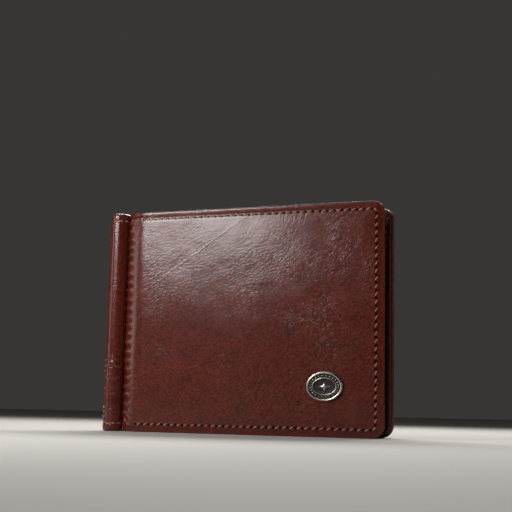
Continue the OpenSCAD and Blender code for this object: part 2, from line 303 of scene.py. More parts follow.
    # the outer edge band in a tone of its own, and painted shade in the needle holes along the seam
    seam = addNode(tree, "ShaderNodeAttribute", {"attribute_name": "seamPlace"}).outputs["Vector"]
    seamParts = addNode(tree, "ShaderNodeSeparateXYZ", links={0: seam}).outputs
    holePlace = addNode(
        tree, "ShaderNodeMath", {"operation": "WRAP", 1: -0.5, 2: 0.5}, {0: seamParts[0]}
    ).outputs[0]
    holeLong = addNode(
        tree, "ShaderNodeMath", {"operation": "MULTIPLY", 1: wallet["stitchPitch"]}, {0: holePlace}
    ).outputs[0]
    holeVector = addNode(tree, "ShaderNodeCombineXYZ", links={0: holeLong, 1: seamParts[1]}).outputs[0]
    holeAway = addNode(
        tree, "ShaderNodeVectorMath", {"operation": "LENGTH"}, {0: holeVector}
    ).outputs["Value"]
    near, far = grain["holeRange"]
    hole = addNode(
        tree,
        "ShaderNodeMapRange",
        {"interpolation_type": "SMOOTHSTEP", 1: near, 2: far, 3: 1.0, 4: 0.0},
        {0: holeAway},
    ).outputs[0]
    # the outer edge band is mixed toward the edge colour
    near, far = grain["edgeToneRange"]
    edgeToned = addNode(
        tree,
        "ShaderNodeMapRange",
        {"interpolation_type": "SMOOTHSTEP", 1: near, 2: far, 3: 0.0, 4: looks["edgeToneShare"]},
        {0: seamParts[1]},
    ).outputs[0]
    edged = addNode(
        tree,
        "ShaderNodeMix",
        {"data_type": "RGBA", 7: linearColour(looks["edge"])},
        {0: edgeToned, 6: toned},
    ).outputs[2]
    colour = addNode(
        tree,
        "ShaderNodeMix",
        {"data_type": "RGBA", 7: linearColour(grain["holeShadeColour"])},
        {0: hole, 6: edged},
    ).outputs[2]
    tree.links.new(colour, shader.inputs["Base Color"])
    low, high = grain["plainRange"]
    gloss = addNode(
        tree,
        "ShaderNodeMapRange",
        {1: low, 2: high, 3: looks["glossiest"], 4: looks["dullest"]},
        {0: wrinkles},
    ).outputs[0]
    tree.links.new(gloss, shader.inputs["Roughness"])
    # relief: grain and folds first, then creases, then pores
    pebbleHeight = addNode(
        tree, "ShaderNodeMath", {"operation": "MULTIPLY"}, {0: pebbleTops, 1: grainShow}
    ).outputs[0]
    grainRelief = addNode(
        tree,
        "ShaderNodeMath",
        {"operation": "MULTIPLY_ADD", 1: looks["wrinkleShare"]},
        {0: wrinkles, 2: pebbleHeight},
    ).outputs[0]
    grainBump = addNode(
        tree,
        "ShaderNodeBump",
        {"Strength": 1.0, "Distance": looks["grainDepth"] * mm},
        {"Height": grainRelief},
    ).outputs[0]
    creaseBump = addNode(
        tree,
        "ShaderNodeBump",
        {"Strength": 1.0, "Distance": looks["creaseDepth"] * mm},
        {"Height": creases, "Normal": grainBump},
    ).outputs[0]
    poreBump = addNode(
        tree,
        "ShaderNodeBump",
        {"Strength": 0.5, "Distance": grain["poreDepth"] * mm},
        {"Height": pores, "Normal": creaseBump},
    ).outputs[0]
    tree.links.new(poreBump, shader.inputs["Normal"])
    tree.links.new(poreBump, shader.inputs["Coat Normal"])
    return material


outerLooks = {
    "deep": "#481208",
    "mid": "#631c0f",
    "light": "#803724",
    "edge": "#501c12",
    # lighter wrinkle tops: partly wear, partly a painted highlight
    "worn": 0.35,
    "edgeToneShare": 0.6,
    "wax": 1.0,
    "waxRoughness": 0.21,
    "glossiest": 0.42,
    "dullest": 0.56,
    "grainAngle": 35,
    "grainStretch": 2.1,
    "grainSize": 1.0,  # width of a pebble of the grain
    "grainDepth": 0.019,
    "grainLeast": 0.35,
    "wrinkleSize": 3.4,
    "wrinkleShare": 1.05,
    "creaseCell": 34,
    "creaseDepth": 0.018,
}
# The pockets are the same hide split thinner and printed finer
pocketLooks = {
    "deep": "#2c0f0a",
    "mid": "#441910",
    "light": "#5b2b1f",
    "edge": "#4e2015",
    # lighter wrinkle tops: partly wear, partly a painted highlight
    "worn": 0.3,
    "edgeToneShare": 0.5,
    "wax": 0.2,
    "waxRoughness": 0.35,
    "glossiest": 0.42,
    "dullest": 0.56,
    "grainAngle": 20,
    "grainStretch": 1.25,
    "grainSize": 0.75,
    "grainDepth": 0.03,
    "grainLeast": 0.5,
    "wrinkleSize": 2.6,
    "wrinkleShare": 1.0,
    "creaseCell": 60,
    "creaseDepth": 0.03,
}
outerLeather = leatherMaterial("waxedCalfOuter", outerLooks)
pocketLeather = leatherMaterial("waxedCalfPocket", pocketLooks)


# Fibrous things with no gloss of their own: a colour and a relief that both follow the fibres
fibrous = {
    # Flesh side of the hide, sanded: matt, pale brown and fuzzy
    "sandedFleshSide": {
        "surface": {"Roughness": 0.9, "Sheen Weight": 0.3},
        "colours": ("#6a4334", "#a07460"),
        "perMetre": 2600,
        "noise": {"Detail": 5.0, "Roughness": 0.7},
        "range": (0.0, 1.0),
        "relief": 0.06,
        "strength": 0.8,
    },
    # Pressed fibre board: pale brown with coarse specks
    "pressedFibreBoard": {
        "surface": {"Roughness": 0.88},
        "colours": ("#6f5a42", "#a58c6c"),
        "perMetre": 900,
        "noise": {"Detail": 6.0, "Roughness": 0.75},
        "range": (0.0, 1.0),
        "relief": 0.05,
        "strength": 0.6,
    },
    # Waxed polyester thread in two plies: a little shiny, with darker and lighter fibres
    "waxedThreadRose": {
        "surface": {"Roughness": 0.5, "Sheen Weight": 0.2, "IOR": 1.5},
        "colours": ("#7d4536", "#bd8672"),
        "perMetre": 3500,
        "noise": {"Detail": 3.0, "Roughness": 0.6},
        "range": (0.35, 0.65),
        "relief": 0.05,
        "strength": 0.6,
    },
}
fibrous["waxedThreadBrown"] = {**fibrous["waxedThreadRose"], "colours": ("#2c140e", "#4f2a20")}


def fibrousMaterial(name):
    looks = fibrous[name]
    material, tree, shader = newMaterial(name, looks["surface"])
    own = addNode(tree, "ShaderNodeTexCoord").outputs["Object"]
    fibres = addNode(
        tree, "ShaderNodeTexNoise", {"Scale": looks["perMetre"], **looks["noise"]}, {"Vector": own}
    ).outputs[0]
    low, high = looks["range"]
    share = addNode(tree, "ShaderNodeMapRange", {1: low, 2: high}, {0: fibres}).outputs[0]
    dark, light = looks["colours"]
    colour = addNode(
        tree,
        "ShaderNodeMix",
        {"data_type": "RGBA", 6: linearColour(dark), 7: linearColour(light)},
        {0: share},
    ).outputs[2]
    bump = addNode(
        tree,
        "ShaderNodeBump",
        {"Strength": looks["strength"], "Distance": looks["relief"] * mm},
        {"Height": fibres},
    ).outputs[0]
    tree.links.new(colour, shader.inputs["Base Color"])
    tree.links.new(bump, shader.inputs["Normal"])
    return material


def weaveMaterial():
    # Cotton twill lining: matt, with its slanting ribs drawn coarser than they are so that they show
    ribPitch = 3.14
    material, tree, shader = newMaterial("cottonTwillLining", {"Roughness": 0.85, "Sheen Weight": 0.4})
    own = addNode(tree, "ShaderNodeTexCoord").outputs["Object"]
    turned = addNode(
        tree, "ShaderNodeMapping", {"Rotation": (0, math.radians(45), 0)}, {"Vector": own}
    ).outputs[0]
    # at a scale of one the wave goes on by 20 radians to the metre
    ribs = addNode(
        tree,
        "ShaderNodeTexWave",
        {
            "bands_direction": "X",
            "Scale": 2 * math.pi / (20 * ribPitch * mm),
            "Distortion": 0.4,
            "Detail": 2.0,
        },
        {"Vector": turned},
    ).outputs[1]
    colour = addNode(
        tree,
        "ShaderNodeMix",
        {"data_type": "RGBA", 6: linearColour("#211410"), 7: linearColour("#45302a")},
        {0: ribs},
    ).outputs[2]
    bump = addNode(
        tree, "ShaderNodeBump", {"Strength": 0.7, "Distance": 0.08 * mm}, {"Height": ribs}
    ).outputs[0]
    tree.links.new(colour, shader.inputs["Base Color"])
    tree.links.new(bump, shader.inputs["Normal"])
    return material


# A metal's two tones, roughness, polish lines per metre along each axis, and its smudges' size and
# lines' depth in mm
metals = {
    # Nickel plate polished along the bar: bright, with fine lines
    "polishedNickel": {
        "dark": "#b9b6ae",
        "bright": "#dedbd4",
        "glossiest": 0.1,
        "dullest": 0.24,
        "lines": (9000, 9000, 160),
        "smudge": 9,
        "depth": 0.004,
    },
    # Rolled steel brushed lengthways: grey, with long soft streaks
    "brushedSteel": {
        "dark": "#8f9194",
        "bright": "#b4b6b8",
        "glossiest": 0.28,
        "dullest": 0.45,
        "lines": (6000, 6000, 120),
        "smudge": 6,
        "depth": 0.01,
    },
    # Drawn spring wire: darker and even
    "drawnSpringWire": {
        "dark": "#6f7072",
        "bright": "#9c9d9f",
        "glossiest": 0.22,
        "dullest": 0.38,
        "lines": (3000, 3000, 3000),
        "smudge": 3,
        "depth": 0.006,
    },
    # Nickel silver buffed on its tops: warm and bright
    "buffedNickelSilver": {
        "dark": "#bdb6ae",
        "bright": "#e6dfd6",
        "glossiest": 0.14,
        "dullest": 0.3,
        "lines": (2500, 2500, 2500),
        "smudge": 2,
        "depth": 0.01,
    },
    # The same, blackened in its hollows: dark and rough
    "blackenedNickelSilver": {
        "dark": "#161413",
        "bright": "#4a4643",
        "glossiest": 0.34,
        "dullest": 0.6,
        "lines": (2500, 2500, 2500),
        "smudge": 1.2,
        "depth": 0.03,
    },
}


def metalMaterial(name):
    looks = metals[name]
    material, tree, shader = newMaterial(name, {"Metallic": 1.0})
    own = addNode(tree, "ShaderNodeTexCoord").outputs["Object"]
    stretched = addNode(tree, "ShaderNodeMapping", {"Scale": looks["lines"]}, {"Vector": own}).outputs[0]
    lines = addNode(
        tree, "ShaderNodeTexNoise", {"Scale": 1.0, "Detail": 4.0, "Roughness": 0.7}, {"Vector": stretched}
    ).outputs[0]
    smudges = addNode(
        tree, "ShaderNodeTexNoise", {"Scale": 1000 / looks["smudge"], "Detail": 4.0}, {"Vector": own}
    ).outputs[0]
    colour = addNode(
        tree,
        "ShaderNodeMix",
        {"data_type": "RGBA", 6: linearColour(looks["dark"]), 7: linearColour(looks["bright"])},
        {0: smudges},
    ).outputs[2]
    both = addNode(tree, "ShaderNodeMath", {"operation": "ADD"}, {0: lines, 1: smudges}).outputs[0]
    gloss = addNode(
        tree,
        "ShaderNodeMapRange",
        {1: 0.6, 2: 1.4, 3: looks["glossiest"], 4: looks["dullest"]},
        {0: both},
    ).outputs[0]
    bump = addNode(
        tree, "ShaderNodeBump", {"Strength": 0.5, "Distance": looks["depth"] * mm}, {"Height": lines}
    ).outputs[0]
    tree.links.new(colour, shader.inputs["Base Color"])
    tree.links.new(gloss, shader.inputs["Roughness"])
    tree.links.new(bump, shader.inputs["Normal"])
    return material


def floorMaterial():
    # Pale matt paper, very slightly clouded
    material, tree, shader = newMaterial("palePaper", {"Roughness": 0.85})
    own = addNode(tree, "ShaderNodeTexCoord").outputs["Object"]
    cloud = addNode(tree, "ShaderNodeTexNoise", {"Scale": 3.0, "Detail": 3.0}, {"Vector": own}).outputs[0]
    colour = addNode(
        tree,
        "ShaderNodeMix",
        {"data_type": "RGBA", 6: linearColour("#b4b0aa"), 7: linearColour("#bfbbb5")},
        {0: cloud},
    ).outputs[2]
    tree.links.new(colour, shader.inputs["Base Color"])
    return material


fleshSide = fibrousMaterial("sandedFleshSide")
twill = weaveMaterial()
fibreBoard = fibrousMaterial("pressedFibreBoard")
# Painted shade down a needle hole: dark, with no shine
holeSurface = {"Roughness": 0.9, "Specular IOR Level": 0.0, "Base Color": linearColour("#140705")}
holeShade, _, _ = newMaterial("needleHoleShade", holeSurface)
topThread = fibrousMaterial("waxedThreadRose")
underThread = fibrousMaterial("waxedThreadBrown")
polishedNickel = metalMaterial("polishedNickel")
brushedSteel = metalMaterial("brushedSteel")
springWire = metalMaterial("drawnSpringWire")
buffedSilver = metalMaterial("buffedNickelSilver")
blackenedSilver = metalMaterial("blackenedNickelSilver")
print("materials made")


def finishPiece(name, bm, place, materials, outward=None, sharpAngle=None):
    # Puts a piece in its place, turns its faces outwards and makes the object
    bmesh.ops.transform(bm, matrix=Matrix.Scale(mm, 4) @ place, verts=bm.verts)
    if outward is None:
        bmesh.ops.recalc_face_normals(bm, faces=bm.faces)
    else:
        bm.normal_update()
        leaning = sum((face.normal * face.calc_area() for face in bm.faces), Vector())
        if leaning.dot(Vector(outward)) < 0:
            bmesh.ops.reverse_faces(bm, faces=bm.faces)
    for face in bm.faces:
        face.smooth = True
    mesh = bpy.data.meshes.new(name)
    bm.to_mesh(mesh)
    bm.free()
    if sharpAngle is not None:
        mesh.set_sharp_from_angle(angle=math.radians(sharpAngle))
    for material in materials:
        mesh.materials.append(material)
    piece = bpy.data.objects.new(name, mesh)
    bpy.context.scene.collection.objects.link(piece)
    return piece


def giveWall(piece, thickness):
    # the skin is drawn as its outer face, and the wall grows inwards from it
    wall = piece.modifiers.new("wall", "SOLIDIFY")
    wall.thickness = thickness * mm
    wall.offset = -1
    wall.use_even_offset = False
    wall.material_offset = 1


def vertsIn(geometry):
    return [item for item in geometry if isinstance(item, bmesh.types.BMVert)]


def edgesIn(geometry):
    return [item for item in geometry if isinstance(item, bmesh.types.BMEdge)]


def giveMaterial(verts, index):
    for face in {face for vert in verts for face in vert.link_faces}:
        face.material_index = index


def gridLines(*stretches):
    # each stretch is (from, to, spacing)
    lines = [stretches[0][0]]
    for start, end, spacing in stretches:
        count = max(1, round((end - start) / spacing))
        lines += [start + (end - start) * k / count for k in range(1, count + 1)]
    return lines


def mirroredLines(lines, total):
    return [total - line for line in reversed(lines)]


def gridSheet(across, upwards, shape):
    # A grid whose lines go to the given places, then to where shape puts them
    bm = bmesh.new()
    hidePlace = bm.verts.layers.float_vector.new("hidePlace")
    seamPlace = bm.verts.layers.float_vector.new("seamPlace")
    columns = len(across) - 1
    rows = len(upwards) - 1
    bmesh.ops.create_grid(bm, x_segments=columns, y_segments=rows, size=1)
    for vert in bm.verts:
        column = round((vert.co.x + 1) / 2 * columns)
        row = round((vert.co.y + 1) / 2 * rows)
        place, seam = shape(across[column], upwards[row])
        vert.co = place
        vert[hidePlace] = place
        vert[seamPlace] = seam
    return bm


def turnedEdge(inside, radius):
    # Where a point of the skin goes when its edge is turned round: distance inside the edge, and depth
    past = radius - inside
    if past <= 0:
        return inside, 0.0
    angle = past / radius
    if angle < math.pi:
        return radius - radius * math.sin(angle), radius - radius * math.cos(angle)
    return radius + past - math.pi * radius, 2 * radius


def layOut(u, v, outline):
    # Lays a point of the flat skin into an outline with three turned edges and two round corners
    upper = v > (outline["low"] + outline["high"]) / 2
    edge = outline["high"] if upper else outline["low"]
    side = 1 if upper else -1
    corner = outline["upperCorner"] if upper else outline["lowerCorner"]
    past = u - (outline["far"] - corner)
    above = side * (v - edge) + corner
    inset, depth = turnedEdge(corner - max(past, above), outline["roll"])
    if past > 0 and above > 0:
        if past > above:
            angle = math.pi / 4 * above / past
        else:
            angle = math.pi / 2 - math.pi / 4 * past / above
        reach = corner - inset
        x = outline["far"] - corner + reach * math.cos(angle)
        z = edge - side * corner + side * reach * math.sin(angle)
    elif past > above:
        x = outline["far"] - inset
        z = v
    else:
        x = u
        z = edge - side * inset
    return x, z, depth


# The seam round a cover: a run below, a corner, a rise, a corner and a run above
seamRun = wallet["width"] - wallet["cornerRadius"] - wallet["stitchStart"]
seamRise = wallet["height"] - 2 * wallet["cornerRadius"]
seamRadius = wallet["cornerRadius"] - wallet["stitchInset"]
seamArc = math.pi / 2 * seamRadius
seamLength = 2 * seamRun + 2 * seamArc + seamRise
seamCount = round(seamLength / wallet["stitchPitch"])
seamPitch = seamLength / seamCount


def seamAt(x, z):
    # How far along the seam a point is, in stitches, and how far it lies outside the stitch line
    far = wallet["width"]
    high = wallet["height"]
    corner = wallet["cornerRadius"]
    low = z < high / 2
    past = x - (far - corner)
    beyond = (corner - z) if low else (z - (high - corner))
    if past > 0 and beyond > 0:
        inset = corner - math.hypot(past, beyond)
        turn = math.atan2(past, beyond) if low else math.atan2(beyond, past)
        along = seamRun + turn * seamRadius + (0 if low else seamArc + seamRise)
    elif past > beyond:
        inset = far - x
        along = seamRun + seamArc + z - corner
    else:
        inset = z if low else high - z
        run = x - wallet["stitchStart"]
        along = run if low else seamLength - run
    return along / seamPitch, wallet["stitchInset"] - inset


def seamPoint(along):
    # Point on the stitch line, and the angle in which the seam runs there
    far = wallet["width"]
    inset = wallet["stitchInset"]
    corner = wallet["cornerRadius"]
    if along < seamRun:
        return wallet["stitchStart"] + along, inset, 0.0
    along -= seamRun
    if along < seamArc:
        turn = along / seamRadius
        return far - corner + seamRadius * math.sin(turn), corner - seamRadius * math.cos(turn), turn
    along -= seamArc
    if along < seamRise:
        return far - inset, corner + along, math.pi / 2
    along -= seamRise
    if along < seamArc:
        turn = along / seamRadius
        x = far - corner + seamRadius * math.cos(turn)
        z = wallet["height"] - corner + seamRadius * math.sin(turn)
        return x, z, math.pi / 2 + turn
    return far - corner - (along - seamArc), wallet["height"] - inset, math.pi


threadPull = {"before": 0.6, "fullAfter": 0.8, "grooveWidth": 0.48, "holeWidth": 0.5}


def seamRelief(along, offset, run, depth, pinch):
    # The thread pulls a groove into the leather, deeper at each hole
    if run < -threadPull["before"]:
        return 0.0
    nearest = (along - round(along)) * seamPitch
    fade = soften(run, -threadPull["before"], threadPull["fullAfter"])
    groove = depth * hump(offset, threadPull["grooveWidth"])
    hole = pinch * hump(math.hypot(nearest, offset), threadPull["holeWidth"])
    return fade * (-groove - hole)


coverHide = {
    "edgeRoll": 0.95,
    "creaseRoll": 0.5,
    "hemWidth": 4.15,
    "wall": 0.5,
    "rampWidth": 9,
    "tuck": 0.5,
    "creaseSlope": 1.8,  # how steeply the tucked edge goes down past the crease line
    "groove": 0.035,
    "pinch": 0.09,
    "edgeFall": 0.5,
    "edgeFallRange": (-0.5, 2.4),
    "swell": 0.13,
    "swellSize": 21,
    "dimple": 0.05,
    "dimpleSize": 6,
    "puckerPitch": 3.4,
    "puckerDepth": 0.4,
    "puckerAt": 0.7,
    "puckerReach": 1.9,
    "creaseWrinkle": 0.2,
    "wrinkleAt": 1.2,
    "wrinkleReach": 2.2,
    "wrinkleTop": 24,
}
# Gathers where the seams meet: place from the crease and from the cover's end, size, depth, the lean
# of their lines, and the distance between them
gathers = {
    "foot": {"at": (1.0, 5.5), "reach": 3.2, "depth": 0.2, "lean": (0.75, 0.66), "pitch": 1.9},
    "head": {"at": (1.0, 5.5), "reach": 3.0, "depth": 0.12, "lean": (0.9, -0.4), "pitch": 2.0},
}


def creaseDrop(u, rampWidth):
    # How far the leather lies below the outer face as it runs down into the crease
    deep = wallet["creaseDepth"]
    if u < 0:
        return deep - coverHide["creaseSlope"] * u
    return deep * max(0.0, 1 - u / rampWidth) ** 2


def coverRelief(u, v, along, offset, seed):
    # How far the leather stands out of its plain face
    hide = coverHide
    relief = seamRelief(along, offset, u - wallet["stitchStart"], hide["groove"], hide["pinch"])
    relief -= hide["edgeFall"] * soften(offset, *hide["edgeFallRange"])
    inner = soften(-offset, 0.4, 5)
    relief += hide["swell"] * inner * ripple(u, v, hide["swellSize"], seed)
    relief += hide["dimple"] * inner * ripple(u, v, hide["dimpleSize"], seed + 3)
    # puckers where the spine seam draws the leather in
    phase = 2 * math.pi * v / hide["puckerPitch"] + 1.6 * ripple(0, v, 9, seed + 5)
    ends = soften(v, 2, 6) * soften(wallet["height"] - v, 2, 6)
    pucker = hide["puckerDepth"] * ends * math.cos(phase) * hump(u - hide["puckerAt"], hide["puckerReach"])
    relief += pucker * (0.7 + 0.6 * ripple(u, v, 5, seed))
    # crumpled leather low in the crease
    crumple = hump(u - hide["wrinkleAt"], hide["wrinkleReach"])
    crumple *= soften(v, 3.5, 7) * soften(hide["wrinkleTop"] - v, 0, 12)
    relief += hide["creaseWrinkle"] * crumple * ripple(u + 0.6 * v, 1.5 * v, 1.5, seed + 7)
    for end, gather in gathers.items():
        across, above = gather["at"]
        fromEnd = v if end == "foot" else wallet["height"] - v
        near = hump(math.hypot(u - across, fromEnd - above), gather["reach"])
        lean = gather["lean"][0] * u + gather["lean"][1] * v
        relief += gather["depth"] * near * math.cos(2 * math.pi * lean / gather["pitch"])
    return relief


def coverSkin(name, place, outward, seed):
    hide = coverHide
    far = wallet["width"]
    high = wallet["height"]
    corner = wallet["cornerRadius"]
    roll = hide["edgeRoll"]
    around = math.pi * roll - roll
    hem = around + hide["hemWidth"] - roll
    seamBand = wallet["stitchInset"]
    edgeLines = gridLines(
        (-hem, -around, 1.1),
        (-around, roll, 0.46),
        (roll, seamBand - 0.6, 0.36),
        (seamBand - 0.6, seamBand + 0.6, 0.24),
        (seamBand + 0.6, corner, 0.3),
    )
    farLines = mirroredLines(edgeLines, far)
    across = gridLines((-hide["tuck"], 8, 0.36), (8, far - corner, 0.7)) + farLines[1:]
    topLines = mirroredLines(edgeLines, high)
    upwards = edgeLines[:-1] + gridLines((corner, high - corner, 0.45)) + topLines[1:]

    def shape(u, v):
        outline = {
            "far": far,
            "low": 0,
            "high": high,
            "upperCorner": corner,
            "lowerCorner": corner,
            "roll": hide["creaseRoll"] + (roll - hide["creaseRoll"]) * soften(u, 0, 2.5),
        }
        x, z, depth = layOut(u, v, outline)
        along, offset = seamAt(x, z)
        if depth > 1.2 * roll:
            offset = -1.0  # the hem has no needle holes of its own
        elif x < wallet["stitchStart"] - 0.4 and abs(offset) < 1:
            offset = -1.0
        flat = 1 - soften(depth, 0, 0.6 * roll)
        lift = flat * coverRelief(x, z, along, offset, seed)
        return (x, creaseDrop(u, hide["rampWidth"]) + depth - lift, z), (along, offset, 0)

    bm = gridSheet(across, upwards, shape)
    piece = finishPiece(name, bm, place, [outerLeather, fleshSide], outward)
    giveWall(piece, hide["wall"])
    return piece


def bendAtCrease(piece):
    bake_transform(piece)


covers = [
    {"name": "front", "place": frontPlace, "outward": (0, -1, 0), "seed": 2.3},
    {"name": "back", "place": backPlace, "outward": (0, 1, 0), "seed": 11.7},
]
for cover in covers:
    skin = coverSkin(cover["name"] + "Leather", cover["place"], cover["outward"], cover["seed"])
    bendAtCrease(skin)
    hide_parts(cover["name"] + "_leather")
print("cover leather made")

hingeLining = {
    "start": -0.25,
    "end": 9.0,
    "rampWidth": 6,
    "under": 1.95,
    "rise": 0.32,
    "wall": 0.35,
    "inset": 0.6,
    "hollow": 0.5,
}


def hingeSkin(name, place, outward):
    # Thin leather that lines the crease from the spine strip to the pocket panel
    lining = hingeLining
    across = gridLines((lining["start"], lining["end"], 0.35))
    upwards = gridLines((lining["inset"], wallet["height"] - lining["inset"], 0.7))

    def shape(u, v):
        slack = 0.05 * ripple(u, v, 3.5, 4.1) * soften(u, 0.4, 2)
        depth = creaseDrop(max(u, 0), lining["rampWidth"]) + lining["under"]
        depth += lining["rise"] * soften(u, 3, 7.5)
        # pressed thinner between the hems, where the clip's hinges come close
        between = soften(v, 4.5, 7) * soften(wallet["height"] - v, 4.5, 7)
        depth -= lining["hollow"] * between * (1 - soften(u, 3, 6.5))
        return (u, depth + slack, v), (0.5, -9, 0)

    bm = gridSheet(across, upwards, shape)
    piece = finishPiece(name, bm, place, [pocketLeather, fleshSide], outward)
    giveWall(piece, lining["wall"])
    return piece


for cover in covers:
    inward = [-part for part in cover["outward"]]
    lining = hingeSkin(cover["name"] + "HingeLining", cover["place"], inward)
    bendAtCrease(lining)
print("hinge linings made")


pockets = {
    "roll": 0.21,
    "wall": 0.14,
    "hem": 0.1,
    "edgeInset": 1.2,
    "panelStart": 8.5,
    "panelDepth": 2.8,
    "liningDepth": 2.32,
    "cardStart": 10.0,
    "step": 0.5,
    "firstMouth": 11.0,
    "mouthStep": 10.0,
    "mouthTurn": 3.5,
    "mouthThick": 0.1,
    "mouthBow": 0.25,
    "tooledLine": 1.7,
    "gatherPitch": 1.4,
    "gatherDepth": 0.13,
    "groove": 0.12,
    "pinch": 0.1,
    "rowInset": 1.8,
    "rowFoot": 5.5,
    "rowEnds": 8,
}
mouths = [wallet["height"] - pockets["firstMouth"] - k * pockets["mouthStep"] for k in range(3)]
# name, where it starts, how many pockets it lies on, its mouth, and where the next mouth hides it
pocketLayers = [
    ("pocket_panel", pockets["panelStart"], 0, wallet["height"] - pockets["edgeInset"], mouths[0]),
    ("card_pocket_upper", pockets["cardStart"], 1, mouths[0], mouths[1]),
    ("card_pocket_middle", pockets["cardStart"], 2, mouths[1], mouths[2]),
    ("card_pocket_lower", pockets["cardStart"], 3, mouths[2], 0.0),
]


def pocketSkin(name, place, outward, layer, seed):
    _, start, level, mouth, hiddenBelow = layer
    pocket = pockets
    far = wallet["width"] - pocket["edgeInset"]
    low = pocket["edgeInset"]
    corner = wallet["cornerRadius"] - pocket["edgeInset"]
    roll = pocket["roll"]
    past = math.pi * roll - roll + pocket["hem"]
    fullHeight = level == 0
    upperCorner = corner if fullHeight else 0.4
    edgeLines = gridLines((-past, roll, 0.16), (roll, corner, 0.3))
    across = (
        [start + line for line in gridLines((-past, roll, 0.16), (roll, 3, 0.5))]
        + gridLines((start + 3, far - corner, 0.9))[1:]
        + mirroredLines(edgeLines, far)[1:]
    )
    fine = max(low + corner, hiddenBelow - 3)
    upwards = [low + line for line in edgeLines]
    if fine > low + corner + 1:
        upwards += gridLines((low + corner, fine, 2.5))[1:]
    upwards += gridLines((fine, mouth - corner, 0.42))[1:] + mirroredLines(edgeLines, mouth)[1:]
    outline = {
        "far": far,
        "low": low,
        "high": mouth,
        "upperCorner": upperCorner,
        "lowerCorner": corner,
        "roll": roll,
    }

    def shape(u, v):
        x, z, depth = layOut(u, v, outline)
        inside, sideDepth = turnedEdge(x - start, roll)
        if x - start < roll:
            x = start + inside
            depth = max(depth, sideDepth)
        along, offset = seamAt(x, z)
        below = mouth - z
        showing = soften(z, hiddenBelow - 1, hiddenBelow + 0.5)
        if not fullHeight:
            bow = math.sin(math.pi * (x - start) / (far - start))
            z -= pocket["mouthBow"] * bow * hump(below, 6)
        lift = seamRelief(along, offset, x - start - 0.5, pocket["groove"], pocket["pinch"])
        # gathers between the seam and the edge, pulled in by every stitch
        band = soften(offset, 0.1, 0.6) * soften(1.75 - offset, 0, 0.5)
        phase = 2 * math.pi * along * seamPitch / pocket["gatherPitch"]
        phase += 2 * ripple(along, 0, 2.3, seed)
        lift += pocket["gatherDepth"] * band * math.cos(phase)
        inner = soften(-offset, 0.4, 4)
        lift += 0.07 * inner * ripple(x, z, 14, seed) + 0.03 * inner * ripple(x, z, 4, seed + 2)
        if not fullHeight:
            thick = 1 - soften(below, pocket["mouthTurn"] - 0.3, pocket["mouthTurn"] + 0.3)
            lift += pocket["mouthThick"] * thick - 0.07 * hump(below - pocket["tooledLine"], 0.3)
        lift *= showing * (1 - soften(depth, 0, roll))
        face = pocket["panelDepth"] + level * pocket["step"]
        return (x, face - depth + lift, z), (along, offset if showing > 0.5 else -9, 0)

    bm = gridSheet(across, upwards, shape)
    piece = finishPiece(name, bm, place, [pocketLeather, fleshSide], outward)
    giveWall(piece, pocket["wall"])
    return piece


for cover in covers:
    inward = [-part for part in cover["outward"]]
    for layer in pocketLayers:
        node = cover["name"] + "_" + layer[0]
        words = node.split("_")
        name = words[0] + "".join(word.capitalize() for word in words[1:])
        seed = cover["seed"] + 3.1 * layer[2]
        pocket = pocketSkin(name, cover["place"], inward, layer, seed)
        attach(pocket, cover["name"] + "_cover")
        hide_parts(node)
print("pockets made")


stitches = {
    "length": 2.1,
    "radius": 0.3,
    "slant": 30,
    "dip": 0.3,
    "proud": 0.02,
    "twist": 6.5,
    "plyDepth": 0.16,
    "taper": 0.45,
    "hole": 0.36,
    "holeDepth": 0.07,
    "holeFlat": 0.15,
}
rose, brown, shade = 0, 1, 2  # a stitching's own materials


def addStitch(bm, place, length, radius, thread=rose):
    # Two twisted plies as one lumpy spindle whose ends go down into their holes
    verts = bmesh.ops.create_uvsphere(bm, u_segments=7, v_segments=8, radius=1)["verts"]
    giveMaterial(verts, thread)
    for vert in verts:
        side, out, along = vert.co
        plies = 1 + stitches["plyDepth"] * math.cos(2 * math.atan2(out, side) + stitches["twist"] * along)
        fuller = (1 - stitches["taper"] * along**4) * plies * radius
        vert.co = (side * fuller, out * fuller - stitches["dip"] * along**4, along * length / 2)
    bmesh.ops.transform(bm, matrix=place, verts=verts)


def stitchPlace(u, depth, z, angle, facing):
    # A stitch lies along its Z with Y out of the leather; facing is -1 outside and 1 inside the cover
    along = Vector((math.cos(angle), 0, math.sin(angle)))
    out = Vector((0, facing, 0))
    side = out.cross(along)
    turned = Matrix((side, out, along)).transposed().to_4x4()
    slant = Matrix.Rotation(math.radians(stitches["slant"]) * math.cos(2 * angle), 4, "Y")
    return Matrix.Translation((u, depth, z)) @ turned @ slant


def insideDepth(u, z):
    # Depth of the topmost layer inside a cover
    pocket = pockets
    if u < pocket["cardStart"] + 0.5:
        return pocket["panelDepth"] if u > pocket["panelStart"] + 0.5 else pocket["liningDepth"]
    return pocket["panelDepth"] + pocket["step"] * sum(z < mouth for mouth in mouths)


